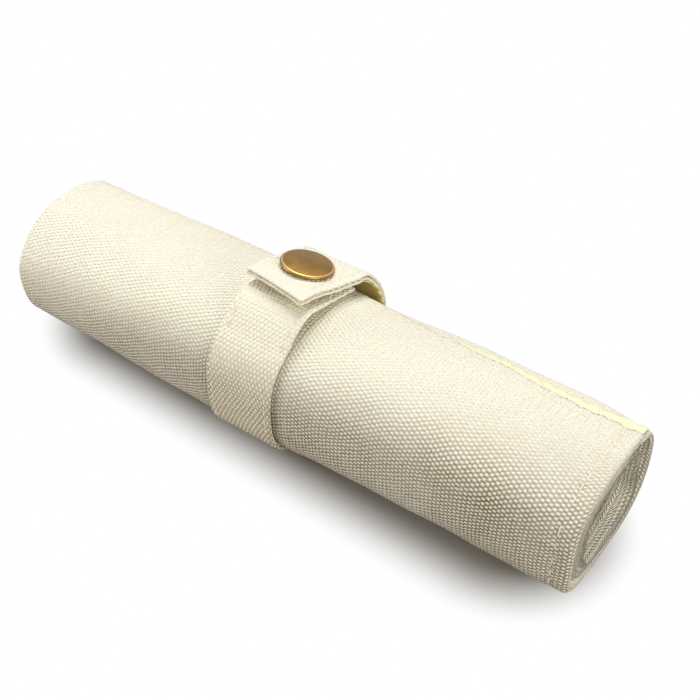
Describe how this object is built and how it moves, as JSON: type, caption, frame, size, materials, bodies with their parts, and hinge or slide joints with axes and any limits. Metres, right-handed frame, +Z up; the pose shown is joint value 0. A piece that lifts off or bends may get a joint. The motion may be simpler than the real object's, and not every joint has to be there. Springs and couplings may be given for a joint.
{
  "type": "roll-up watch strap case",
  "caption": "Rolled canvas case for watch straps, closed by a canvas strap with a domed press stud.",
  "frame": {"origin": "on the surface that the case lies on, under the middle of its bounding box", "axes": "+X along the roll towards the end whose plies the picture shows, -Y towards the front, +Z up"},
  "size_m": [0.185, 0.0534, 0.0486],
  "materials": {
    "canvas": "heavy plain-weave cotton duck, natural cream",
    "lining": "thin plain cotton, pale yellow",
    "antique_brass": "antique brass plating, satin, rubbed brighter on the edge",
    "spring_wire": "bright spring wire"
  },
  "bodies": {
    "roll": {"outer_canvas": "canvas", "lining": "lining", "pocket_panel": "canvas", "band_canvas": "canvas", "band_lining": "lining", "snap_stud": "antique_brass", "snap_post": "antique_brass"},
    "tab": {"tab_canvas": "canvas", "tab_lining": "lining", "snap_cap": "antique_brass", "snap_socket": "antique_brass", "snap_spring": "spring_wire"}
  },
  "joints": [
    {"name": "tab_lift", "type": "hinge", "parent": "roll", "child": "tab", "pos_m": [-0.0037, 0.01714, 0.04072], "axis": [-1, 0, 0], "range_deg": [0, 150]}
  ]
}
